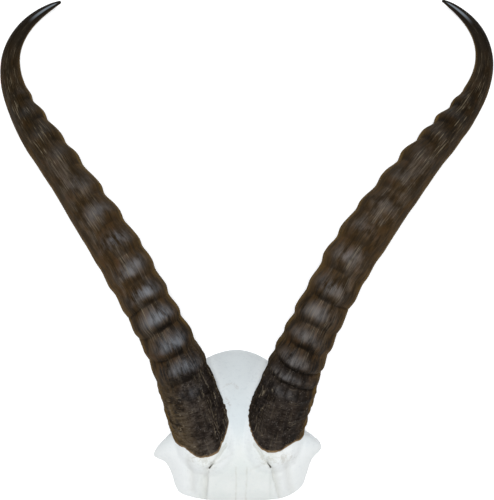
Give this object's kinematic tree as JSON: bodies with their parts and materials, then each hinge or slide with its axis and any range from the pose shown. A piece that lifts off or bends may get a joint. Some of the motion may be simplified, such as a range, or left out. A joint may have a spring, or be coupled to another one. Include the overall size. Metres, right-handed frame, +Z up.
{
  "type": "antelope horn pair on a skull plate",
  "caption": "Pair of ringed antelope horns with inward-hooked tips, grown on the sawn top of the bleached skull, lying face up.",
  "frame": {"origin": "middle of the footprint, on the surface that the sawn bone and the backs of the horns lie on", "axes": "+Z up, away from that surface, the way the forehead faces; +Y from the forehead to the horn tips; +X to the right in the face-up view"},
  "size_m": [0.3223, 0.3241, 0.0767],
  "materials": {
    "bleached_bone": "matte",
    "horn_sheath": "satin"
  },
  "bodies": {
    "root": {"skull_plate": "bleached_bone", "horn_left": "horn_sheath", "horn_right": "horn_sheath"}
  },
  "joints": []
}
